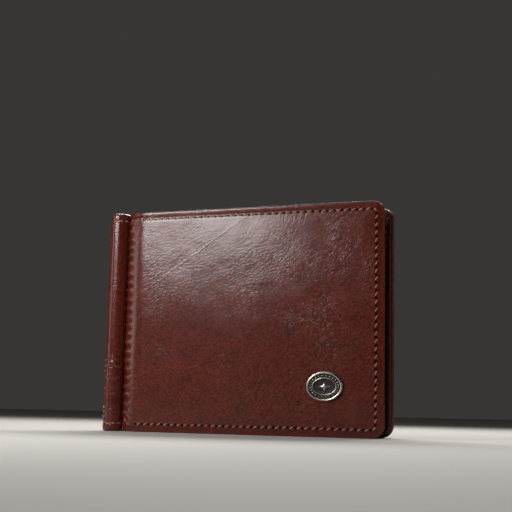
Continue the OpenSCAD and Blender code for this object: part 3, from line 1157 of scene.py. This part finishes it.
def coverStitching(name, place):
    bm = bmesh.new()
    for k in range(seamCount):
        u, z, angle = seamPoint((k + 0.5) * seamPitch)
        outside = stitchPlace(u, 0.1 - stitches["proud"], z, angle, -1)
        addStitch(bm, outside, stitches["length"], stitches["radius"])
        inside = stitchPlace(u, insideDepth(u, z) - 0.02, z, angle, 1)
        addStitch(bm, inside, stitches["length"], stitches["radius"] * 0.9, brown)
    # dark beads of painted shade down inside each needle hole
    for k in range(seamCount + 1):
        u, z, _ = seamPoint(min(k * seamPitch, seamLength - 0.01))
        bead = bmesh.ops.create_uvsphere(bm, u_segments=8, v_segments=4, radius=stitches["hole"])["verts"]
        giveMaterial(bead, shade)
        flat = Matrix.Diagonal((1, stitches["holeFlat"], 1, 1))
        down = Matrix.Translation((u, stitches["holeDepth"], z))
        bmesh.ops.transform(bm, matrix=down @ flat, verts=bead)
    # the row that closes the card pockets beside the crease
    lineU = pockets["cardStart"] + pockets["rowInset"]
    rise = mouths[0] - pockets["rowEnds"]
    count = round(rise / seamPitch)
    for k in range(count):
        z = pockets["rowFoot"] + (k + 0.5) * rise / count
        row = stitchPlace(lineU, insideDepth(lineU, z) + 0.02, z, math.pi / 2, 1)
        addStitch(bm, row, stitches["length"], stitches["radius"] * 0.85, brown)
    return finishPiece(name, bm, place, [topThread, underThread, holeShade])


for cover in covers:
    rows = coverStitching(cover["name"] + "Stitching", cover["place"])
    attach(rows, cover["name"] + "_cover")
    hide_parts(cover["name"] + "_stitching")
print("stitching made:", seamCount, "stitches round each cover")


roll = {
    "radius": wallet["rollRadius"],
    "centreY": wallet["halfThickness"] - wallet["rollRadius"],
    "startAngle": math.radians(4),
    "edgeRoll": 0.95,
    "hemWidth": 4.15,
    "wall": 0.5,
    "seamAngle": math.radians(14),
    "seamPitch": 75 / 22,
    "seamFoot": 5.0,
    "stitchLength": 2.55,
    "stitchRadius": 0.25,
    "stitchTilt": 0.15,
    "endAngles": (35, 68, 101),
    "endHeight": 3.0,
    "endRadius": 0.28,
    "groove": 0.12,
    "pinch": 0.14,
    "pucker": 0.07,
    "foldDrift": 0.9,
    "swell": 0.06,
}
# Folds across the roll, given one by one: height, depth and half width
rollFolds = [
    (5.2, 0.14, 0.88),
    (7.1, 0.18, 0.75),
    (8.9, 0.16, 1.00),
    (13.5, 0.07, 1.25),
    (16.4, 0.12, 1.00),
    (20.1, 0.16, 0.88),
    (22.4, 0.14, 1.12),
    (24.6, 0.19, 0.88),
    (26.9, 0.16, 0.75),
    (33.5, 0.06, 1.50),
    (47.0, 0.04, 1.88),
]
rollArc = (math.pi - roll["startAngle"]) * roll["radius"]
rollBack = 2 * roll["centreY"]
rollLength = 2 * rollArc + rollBack


def rollPoint(along, depth):
    # Point on the section of the spine roll, at a depth below its face
    radius = roll["radius"]
    inner = radius - depth
    if along <= rollArc:
        angle = -roll["startAngle"] - along / radius
        return -radius + inner * math.cos(angle), -roll["centreY"] + inner * math.sin(angle), -angle
    if along < rollArc + rollBack:
        return -radius - inner, -roll["centreY"] + along - rollArc, math.pi
    angle = math.pi - (along - rollArc - rollBack) / radius
    return -radius + inner * math.cos(angle), roll["centreY"] + inner * math.sin(angle), angle


def rollRelief(angle, z, seed):
    nearest = (z - roll["seamFoot"]) / roll["seamPitch"]
    hole = (nearest - round(nearest)) * roll["seamPitch"]
    off = (angle - roll["seamAngle"]) * roll["radius"]
    inRow = soften(z, 3.5, 5) * soften(wallet["height"] - z, 3.5, 5)
    relief = -inRow * roll["groove"] * hump(off, 0.5)
    relief -= inRow * roll["pinch"] * hump(math.hypot(off, hole), 0.6)
    relief += roll["pucker"] * inRow * math.cos(2 * math.pi * nearest) * hump(off - 0.9, 0.9)
    for end in (roll["endHeight"], wallet["height"] - roll["endHeight"]):
        relief -= roll["groove"] * hump(z - end, 0.45) * soften(angle, 0.35, 0.6)
    for height, depth, width in rollFolds:
        line = height + roll["foldDrift"] * ripple(angle * 2.2, height, 1.3, seed)
        reach = soften(angle, 0.7, 1.1) * (0.55 + 0.9 * ripple(angle * 3, height * 3, 1.7, seed + 1))
        relief += depth * reach * (hump(z - line - width, width) - hump(z - line, 0.55 * width))
    return relief + roll["swell"] * ripple(angle * roll["radius"], z, 9, seed + 2)


def rollSkin():
    high = wallet["height"]
    radius = roll["edgeRoll"]
    around = math.pi * radius - radius
    hem = around + roll["hemWidth"] - radius
    endLines = gridLines((-hem, -around, 1.1), (-around, radius, 0.45), (radius, 5, 0.3))
    upwards = endLines[:-1] + gridLines((5, 30, 0.28), (30, high - 5, 0.5))
    upwards += mirroredLines(endLines, high)[1:]
    across = gridLines(
        (0, rollArc, 0.36), (rollArc, rollArc + rollBack, 0.6), (rollArc + rollBack, rollLength, 0.36)
    )

    def shape(along, v):
        upper = v > high / 2
        inset, depth = turnedEdge(high - v if upper else v, radius)
        z = high - inset if upper else inset
        _, y, angle = rollPoint(along, 0)
        flat = 1 - soften(depth, 0, 0.6 * radius)
        lift = flat * rollRelief(angle, z, 3.0 if y < 0 else 8.0)
        x, y, _ = rollPoint(along, depth - lift)
        hole = (z - roll["seamFoot"]) / roll["seamPitch"]
        off = (angle - roll["seamAngle"]) * roll["radius"]
        if depth > radius:
            off = -9
        if off < 2:
            return (x, y, z), (hole, -abs(off), 0)
        return (x, y, z), (0.5, wallet["stitchInset"] - inset, 0)

    bm = gridSheet(across, upwards, shape)
    piece = finishPiece("spineRoll", bm, spinePlace, [outerLeather, fleshSide], (-1, 0, 0))
    giveWall(piece, roll["wall"])
    return piece


spineRoll = rollSkin()
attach(spineRoll, "spine")
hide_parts("spine_leather")


def rollSeam(name, side):
    # side is -1 for the front crease and 1 for the back one
    bm = bmesh.new()
    count = round((wallet["height"] - 2 * roll["seamFoot"]) / roll["seamPitch"])

    def onRoll(angle, z, tilt):
        out = Vector((math.cos(angle), side * math.sin(angle), 0))
        up = Vector((0, 0, 1))
        across = out.cross(up)
        turned = Matrix((across, out, up)).transposed().to_4x4()
        centre = Vector((-roll["radius"], side * roll["centreY"], z)) + out * (roll["radius"] - 0.1)
        return Matrix.Translation(centre) @ turned @ Matrix.Rotation(tilt, 4, "Y")

    # the seam down the crease takes the dark thread as painted shade for the shadowed crease; the stitches
    # across the roll's ends keep the rose thread
    for k in range(count):
        z = roll["seamFoot"] + (k + 0.5) * roll["seamPitch"]
        row = onRoll(roll["seamAngle"], z, roll["stitchTilt"])
        addStitch(bm, row, roll["stitchLength"], roll["stitchRadius"], brown)
    for degrees in roll["endAngles"]:
        for z in (roll["endHeight"], wallet["height"] - roll["endHeight"]):
            across = onRoll(math.radians(degrees), z, math.radians(90 - 12))
            addStitch(bm, across, stitches["length"], roll["endRadius"])
    return finishPiece(name, bm, spinePlace, [topThread, underThread])


for node, side in (("spine_seam_front", -1), ("spine_seam_back", 1)):
    seam = rollSeam("spineSeamFront" if side < 0 else "spineSeamBack", side)
    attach(seam, "spine")
    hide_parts(node)

stripLow, stripHigh = boxBySpine("spine_inner_strip")
strip = {"roll": 0.25, "wall": 0.3, "crown": 0.12, "line": 0.8, "lineDepth": 0.08}


def stripSkin():
    # Leather strip inside the spine, crowned, with a tooled line beside each long edge
    half = stripHigh.y
    low = stripLow.z
    high = stripHigh.z
    past = (math.pi - 1) * strip["roll"]
    ends = gridLines((-past, strip["roll"], 0.16), (strip["roll"], 2, 0.3))
    across = [line - half for line in ends] + gridLines((2 - half, half - 2, 0.3))[1:]
    across += [half - line for line in reversed(ends)][1:]
    upwards = [low + line for line in ends] + gridLines((low + 2, high - 2, 0.6))[1:]
    upwards += [high - line for line in reversed(ends)][1:]

    def shape(y, v):
        inset, sideDepth = turnedEdge(half - abs(y), strip["roll"])
        endInset, endDepth = turnedEdge(min(v - low, high - v), strip["roll"])
        placed = math.copysign(half - inset, y)
        z = low + endInset if v < (low + high) / 2 else high - endInset
        depth = max(sideDepth, endDepth)
        lift = strip["crown"] * (1 - (placed / half) ** 2)
        lift -= strip["lineDepth"] * hump(inset - strip["line"], 0.22)
        lift += 0.04 * ripple(placed, z, 7, 5.5)
        if depth > 0:
            lift = 0
        return (stripHigh.x - depth + lift - strip["crown"], placed, z), (0.5, -9, 0)

    bm = gridSheet(across, upwards, shape)
    piece = finishPiece("spineInnerStrip", bm, spinePlace, [pocketLeather, fleshSide], (1, 0, 0))
    giveWall(piece, strip["wall"])
    return piece


innerStrip = stripSkin()
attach(innerStrip, "spine")
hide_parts("spine_inner_strip")
print("spine made")


def spunProfile(bm, points, axis, steps):
    # Spins a profile of (radius, height) points about a line; points on the axis close its ends
    side = Vector((1, 0, 0)) if abs(axis.z) > 0.5 else Vector((0, 0, 1))
    verts = [bm.verts.new(side * radius + axis * height) for radius, height in points]
    edges = [bm.edges.new(pair) for pair in zip(verts, verts[1:])]
    bmesh.ops.spin(
        bm,
        geom=verts + edges,
        cent=(0, 0, 0),
        axis=axis,
        dvec=(0, 0, 0),
        angle=2 * math.pi,
        steps=steps,
        use_merge=True,
        use_duplicate=False,
    )
    bmesh.ops.remove_doubles(bm, verts=bm.verts[:], dist=0.0005)


def spunRing(bm, ring, centre, axis, angle, steps, rise=0):
    # Turns a ring of edges about an axis and gives the ring at the other end
    made = bmesh.ops.spin(
        bm,
        geom=list({vert for edge in ring for vert in edge.verts}) + ring,
        cent=centre,
        axis=axis,
        dvec=(0, 0, rise),
        angle=angle,
        steps=steps,
        use_merge=False,
        use_duplicate=False,
    )
    return edgesIn(made["geom_last"])


def drawnRing(bm, ring, vector):
    # Draws a ring of edges out in a straight line and gives the ring at the other end
    made = bmesh.ops.extrude_edge_only(bm, edges=ring)["geom"]
    verts = vertsIn(made)
    bmesh.ops.translate(bm, vec=vector, verts=verts)
    return [edge for edge in edgesIn(made) if all(vert in verts for vert in edge.verts)]


def layAlongX(bm):
    bmesh.ops.rotate(bm, cent=(0, 0, 0), matrix=Matrix.Rotation(math.pi / 2, 3, "Y"), verts=bm.verts)


def dome(radius, base, rise, count):
    # Points of a low dome from its rim to its top
    points = []
    for k in range(count + 1):
        angle = math.pi / 2 * k / count
        points.append((radius * math.cos(angle), base + rise * math.sin(angle)))
    return points


rivets = {"headRadius": 1.8, "headThick": 0.6, "tailRadius": 1.5, "shaftRadius": 0.9, "bevel": 0.2}


def rivetPair():
    bm = bmesh.new()
    low, high = boxBySpine("rail_rivets")
    reach = rivets["headRadius"]
    head = high.x - rivets["headThick"]
    tail = low.x + rivets["headThick"]
    profile = [
        (0, low.x),
        (rivets["tailRadius"] - rivets["bevel"], low.x),
        (rivets["tailRadius"], low.x + rivets["bevel"]),
        (rivets["tailRadius"], tail),
        (rivets["shaftRadius"], tail),
        (rivets["shaftRadius"], head),
        (reach - 0.08, head),
        (reach, head + 0.08),
    ]
    profile += dome(reach, head + 0.12, rivets["headThick"] - 0.12, 6)
    profile[-1] = (0, profile[-1][1])
    spunProfile(bm, profile, Vector((1, 0, 0)), 28)
    lower = bm.verts[:]
    upper = vertsIn(bmesh.ops.duplicate(bm, geom=bm.verts[:] + bm.edges[:] + bm.faces[:])["geom"])
    bmesh.ops.translate(bm, verts=lower, vec=(0, 0, low.z + reach))
    bmesh.ops.translate(bm, verts=upper, vec=(0, 0, high.z - reach))
    return finishPiece("railRivets", bm, spinePlace, [brushedSteel], sharpAngle=40)


pair = rivetPair()
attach(pair, "spine")
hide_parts("rail_rivets")

hingeX = clipAxis.x - backAxis.x
clipLow, clipHigh = boxBySpine("clip_frame")
clip = {
    "barWidth": 4.0,
    "barThick": 1.2,
    "edgeRound": 0.35,
    "cornerRadius": 4.0,
    "tabThick": 1.2,
    "tabRadius": 1.9,
    "tabEnd": 5.37,
    "tabBevel": 0.18,
    "armStart": 4.17,
}


def clipPiece():
    # One bent flat bar, a long side and two arms, with a flat tab turned at each arm's end
    bm = bmesh.new()
    middle = (clipLow.z + clipHigh.z) / 2
    armZ = clipHigh.z - clip["barWidth"] / 2
    bendX = clipHigh.x - clip["cornerRadius"]
    centreline = clip["cornerRadius"] - clip["barWidth"] / 2
    section = bmesh.ops.create_grid(bm, x_segments=1, y_segments=1, size=0.5)
    bmesh.ops.scale(bm, vec=(clip["barWidth"], clip["barThick"], 1), verts=section["verts"])
    bmesh.ops.bevel(
        bm,
        geom=bm.verts[:],
        offset=clip["edgeRound"],
        offset_type="OFFSET",
        segments=4,
        profile=0.5,
        affect="VERTICES",
        material=-1,
    )
    bmesh.ops.delete(bm, geom=bm.faces[:], context="FACES_ONLY")
    # stand the section across the upper arm: its width goes to Z and its thickness stays in Y
    layAlongX(bm)
    bmesh.ops.translate(bm, vec=(clip["armStart"], 0, armZ), verts=bm.verts)
    firstRing = bm.edges[:]
    bendZ = armZ - centreline
    quarter = {"axis": (0, 1, 0), "angle": math.pi / 2, "steps": 12}
    ring = drawnRing(bm, firstRing, (bendX - clip["armStart"], 0, 0))
    ring = spunRing(bm, ring, (bendX, 0, bendZ), **quarter)
    ring = drawnRing(bm, ring, (0, 0, -(2 * (bendZ - middle))))
    ring = spunRing(bm, ring, (bendX, 0, 2 * middle - bendZ), **quarter)
    ring = drawnRing(bm, ring, (clip["armStart"] - bendX, 0, 0))
    for end in (firstRing, ring):
        bmesh.ops.contextual_create(bm, geom=end)
    for top in (clipHigh.z, clipLow.z + clip["tabThick"]):
        hingeTab(bm, top)
    return finishPiece("clipFrame", bm, spinePlace, [polishedNickel], sharpAngle=35)


def hingeTab(bm, top):
    # A flat tab, round about the pin and stretched to reach the arm
    verts = bmesh.ops.create_circle(bm, cap_ends=True, segments=32, radius=clip["tabRadius"])["verts"]
    ends = [vert for vert in verts if vert.co.x > 0.001]
    bmesh.ops.translate(bm, vec=(clip["tabEnd"] - hingeX - clip["tabRadius"], 0, 0), verts=ends)
    bmesh.ops.translate(bm, vec=(hingeX, 0, top), verts=verts)
    lower = vertsIn(bmesh.ops.extrude_face_region(bm, geom=[verts[0].link_faces[0]])["geom"])
    bmesh.ops.translate(bm, vec=(0, 0, -clip["tabThick"]), verts=lower)
    rims = set()
    for group in (verts, lower):
        members = set(group)
        rims.update(edge for vert in group for edge in vert.link_edges if set(edge.verts) <= members)
    bmesh.ops.bevel(
        bm,
        geom=list(rims),
        offset=clip["tabBevel"],
        offset_type="OFFSET",
        segments=3,
        profile=0.5,
        affect="EDGES",
        material=-1,
    )


clipFrame = clipPiece()
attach(clipFrame, "clip")
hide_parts("clip_frame")

pins = {
    "headRadius": 1.7,
    "headThick": 0.6,
    "shaftRadius": 0.95,
    "flangeRadius": 1.5,
    "flangeThick": 0.6,
}


def hingePin(name, node, pointsUp):
    # Turned pin with a domed head at the outer end and a flange at the inner one
    low, high = boxBySpine(node)
    bm = bmesh.new()
    neck = high.z - low.z - pins["headThick"]
    profile = [
        (0, 0),
        (pins["flangeRadius"] - 0.15, 0),
        (pins["flangeRadius"], 0.15),
        (pins["flangeRadius"], pins["flangeThick"] - 0.1),
        (pins["flangeRadius"] - 0.1, pins["flangeThick"]),
        (pins["shaftRadius"], pins["flangeThick"]),
        (pins["shaftRadius"], neck),
        (pins["headRadius"] - 0.1, neck),
        (pins["headRadius"], neck + 0.1),
    ]
    profile += dome(pins["headRadius"], neck + 0.15, pins["headThick"] - 0.15, 6)
    profile[-1] = (0, profile[-1][1])
    spunProfile(bm, profile, Vector((0, 0, 1)), 28)
    if not pointsUp:
        bmesh.ops.rotate(bm, cent=(0, 0, 0), matrix=Matrix.Rotation(math.pi, 3, "X"), verts=bm.verts)
    bmesh.ops.translate(bm, vec=(hingeX, 0, low.z if pointsUp else high.z), verts=bm.verts)
    pin = finishPiece(name, bm, spinePlace, [brushedSteel], sharpAngle=40)
    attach(pin, "clip")
    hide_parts(node)


hingePin("clipPinUpper", "clip_pin_upper", True)
hingePin("clipPinLower", "clip_pin_lower", False)

spring = {
    "wireRadius": 0.22,
    "coilRadius": 1.6,
    "turns": 3.5,
    "rise": 0.5,
    "legX": -0.08,
    "armLegX": (5.17, 10.17),
    "armGap": 0.05,
}


def torsionSpring(name, node, pointsUp):
    # A leg on the strip, three and a half turns round the pin, and a leg along the clip's arm
    low, high = boxBySpine(node)
    wire = spring["wireRadius"]
    coil = spring["coilRadius"]
    height = wallet["height"]
    start = low.z + wire if pointsUp else height - high.z + wire
    steps = round(24 * spring["turns"])
    bm = bmesh.new()
    bmesh.ops.create_circle(bm, cap_ends=False, segments=8, radius=wire)
    layAlongX(bm)
    bmesh.ops.translate(bm, vec=(hingeX, coil, start), verts=bm.verts)
    firstRing = bm.edges[:]
    lastRing = spunRing(
        bm,
        firstRing,
        (hingeX, 0, 0),
        axis=(0, 0, 1),
        angle=-2 * math.pi * spring["turns"],
        steps=steps,
        rise=spring["rise"] * spring["turns"] / steps,
    )
    armY = -(clip["barThick"] / 2 + wire + spring["armGap"])
    near, farther = spring["armLegX"]
    firstRing = drawnRing(bm, firstRing, (spring["legX"] - hingeX, 0, 0))
    lastRing = drawnRing(bm, lastRing, (near - hingeX, armY + coil, 0))
    lastRing = drawnRing(bm, lastRing, (farther - near, 0, 0))
    for ring in (firstRing, lastRing):
        bmesh.ops.contextual_create(bm, geom=ring)
    end = start + spring["rise"] * spring["turns"]
    if not pointsUp:
        bmesh.ops.mirror(bm, geom=bm.verts[:] + bm.edges[:] + bm.faces[:], axis="Z", merge_dist=-1)
        above = [vert for vert in bm.verts if vert.co.z > 0]
        bmesh.ops.delete(bm, geom=above, context="VERTS")
        bmesh.ops.translate(bm, vec=(0, 0, height), verts=bm.verts)
        start = height - start
        end = height - end
    piece = finishPiece(name, bm, spinePlace, [springWire], sharpAngle=50)
    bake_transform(piece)
    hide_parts(node)


torsionSpring("clipSpringUpper", "clip_spring_upper", True)
torsionSpring("clipSpringLower", "clip_spring_lower", False)
print("clip made")


badge = {
    "centre": (82.3, 18.0),
    "halfWidth": 6.8,
    "halfHeight": 5.35,
    "plate": 0.7,
    "plateBevel": 0.15,
    "rimRise": 0.5,
    "rimWidth": 0.9,
    "ringRadius": 3.0,
    "ringWidth": 0.42,
    "ringRise": 0.28,
    "markCount": 24,
    "beadSize": (0.3, 0.3, 0.24),
    "dashSize": (0.42, 0.17, 0.24),
    "starWidth": 2.5,
    "starHeight": 1.75,
    "starRise": 0.45,
    "starWaist": 0.34,
    "hollowsBelow": 0.07,
}


def badgePiece():
    # An oval plate with a round rim, an inner ring, a row of small marks and a four-pointed star
    bm = bmesh.new()
    radius = badge["halfHeight"]
    stretch = badge["halfWidth"] - radius
    plate = badge["plate"]
    bevel = badge["plateBevel"]
    halfRim = badge["rimWidth"] / 2
    halfRing = badge["ringWidth"] / 2
    crest = radius - halfRim
    profile = [(0, 0), (radius - bevel, 0), (radius, bevel), (radius, plate)]
    for k in range(9):
        angle = math.pi * k / 8
        across = crest + halfRim * math.cos(angle)
        profile.append((across, plate + badge["rimRise"] * math.sin(angle)))
    for k in range(7):
        angle = math.pi * k / 6
        across = badge["ringRadius"] + halfRing * math.cos(angle)
        profile.append((across, plate + badge["ringRise"] * math.sin(angle)))
    inner = badge["ringRadius"] + halfRing
    profile += [(inner - 0.9, plate - 0.08), (0.9, plate - 0.02), (0, plate)]
    spunProfile(bm, profile, Vector((0, 0, 1)), 72)
    # the round plate is drawn out to an oval
    for vert in bm.verts:
        reach = math.hypot(vert.co.x, vert.co.y)
        if reach > 0.01:
            vert.co.x += stretch * soften(reach, 0, 2.2) * vert.co.x / reach
    markRadius = (crest - halfRim + inner) / 2
    for k in range(badge["markCount"]):
        angle = 2 * math.pi * (k + 0.5) / badge["markCount"]
        mark = bmesh.ops.create_uvsphere(bm, u_segments=8, v_segments=5, radius=1)["verts"]
        bmesh.ops.scale(bm, vec=badge["dashSize"] if k % 2 else badge["beadSize"], verts=mark)
        bmesh.ops.rotate(bm, cent=(0, 0, 0), matrix=Matrix.Rotation(angle, 3, "Z"), verts=mark)
        x = (markRadius + stretch) * math.cos(angle)
        y = markRadius * math.sin(angle)
        bmesh.ops.translate(bm, vec=(x, y, plate + 0.02), verts=mark)
    star = bmesh.ops.create_cone(
        bm, cap_ends=True, segments=8, radius1=1, radius2=0.16, depth=badge["starRise"]
    )["verts"]
    for vert in sorted(star, key=lambda vert: vert.co.z)[:8]:
        turn = round(math.atan2(vert.co.y, vert.co.x) / (math.pi / 4))
        if turn % 2:
            vert.co.x *= badge["starWaist"]
            vert.co.y *= badge["starWaist"]
    bmesh.ops.scale(bm, vec=(badge["starWidth"], badge["starHeight"], 1), verts=star)
    bmesh.ops.translate(bm, vec=(0, 0, plate + 0.2), verts=star)
    bmesh.ops.recalc_face_normals(bm, faces=bm.faces)
    for face in bm.faces:
        # hollows are blackened and the tops stay bright
        hollow = face.calc_center_median().z < plate + badge["hollowsBelow"]
        face.material_index = 1 if hollow else 0
    u, z = badge["centre"]
    facing = Matrix(((1, 0, 0), (0, 0, -1), (0, 1, 0))).to_4x4()
    place = frontPlace @ Matrix.Translation((u, 0, z)) @ facing
    return finishPiece("badge", bm, place, [buffedSilver, blackenedSilver], sharpAngle=50)


oval = badgePiece()
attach(oval, "front_cover")
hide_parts("badge")
print("badge made")

# What stays as the frame drew it only takes its finish
finishes = {
    "clip_rail": brushedSteel,
    "badge_backing_plate": brushedSteel,
    "front_board": fibreBoard,
    "back_board": fibreBoard,
    "front_lining": twill,
    "back_lining": twill,
}
for node, material in finishes.items():
    materials = frame["nodes"][node].data.materials
    materials.clear()
    materials.append(material)


def makeFloor():
    bm = bmesh.new()
    bmesh.ops.create_circle(bm, cap_ends=True, segments=64, radius=6)
    mesh = bpy.data.meshes.new("floor")
    bm.to_mesh(mesh)
    bm.free()
    mesh.materials.append(floorMaterial())
    piece = bpy.data.objects.new("floor", mesh)
    bpy.context.scene.collection.objects.link(piece)


makeFloor()

# place and aim are in mm from the middle of the wallet's foot, size in mm, power in watts
lights = {
    "frontLeftWindow": {
        "place": (-172, -250, 164),
        "aim": (-20, 0, 60),
        "size": (150, 86),
        "power": 0.7,
    },
    "overheadStrip": {"place": (-20, 250, 350), "aim": (0, 0, 75), "size": (420, 150), "power": 2.6},
    "rightEdge": {"place": (520, -90, 160), "aim": (50, 0, 40), "size": (90, 200), "power": 0.12},
    "leftEdge": {"place": (-420, -170, 130), "aim": (-50, 0, 40), "size": (90, 200), "power": 0.15},
    "highFill": {"place": (-160, -300, 700), "aim": (0, 0, 0), "size": (500, 500), "power": 0.45},
}
roomLight = {"colour": "#efebe6", "strength": 0.045}


def makeLights():
    for name, values in lights.items():
        data = bpy.data.lights.new(name, "AREA")
        data.shape = "RECTANGLE"
        data.size = values["size"][0] * mm
        data.size_y = values["size"][1] * mm
        data.energy = values["power"]
        lamp = bpy.data.objects.new(name, data)
        place = Vector(values["place"]) * mm
        lamp.location = place
        towards = Vector(values["aim"]) * mm - place
        lamp.rotation_euler = towards.to_track_quat("-Z", "Y").to_euler()
        bpy.context.scene.collection.objects.link(lamp)
    world = bpy.data.worlds.new("studio")
    world.use_nodes = True
    background = world.node_tree.nodes["Background"]
    background.inputs["Color"].default_value = linearColour(roomLight["colour"])
    background.inputs["Strength"].default_value = roomLight["strength"]
    bpy.context.scene.world = world
    bpy.context.scene.view_settings.view_transform = "Standard"


makeLights()

# place is in mm from the front crease's foot; heading turns from +Y to the left, pitch is upwards
camera = {"lens": 73.8, "place": (181.0, -371.6, 8.1), "heading": 18.99, "pitch": 8.5, "roll": 1.27}


def makeCamera():
    data = bpy.data.cameras.new("camera")
    data.lens = camera["lens"]
    data.sensor_width = 36
    data.clip_start = 0.01
    data.clip_end = 20
    eye = bpy.data.objects.new("camera", data)
    origin = Vector((frontAxis.x, frontAxis.y, 0))
    turned = (
        Matrix.Rotation(math.radians(camera["heading"]), 4, "Z")
        @ Matrix.Rotation(math.radians(90 + camera["pitch"]), 4, "X")
        @ Matrix.Rotation(math.radians(camera["roll"]), 4, "Z")
    )
    eye.matrix_world = Matrix.Translation((origin + Vector(camera["place"])) * mm) @ turned
    bpy.context.scene.collection.objects.link(eye)
    bpy.context.scene.camera = eye


makeCamera()
print("studio made")

bpy.context.view_layer.update()
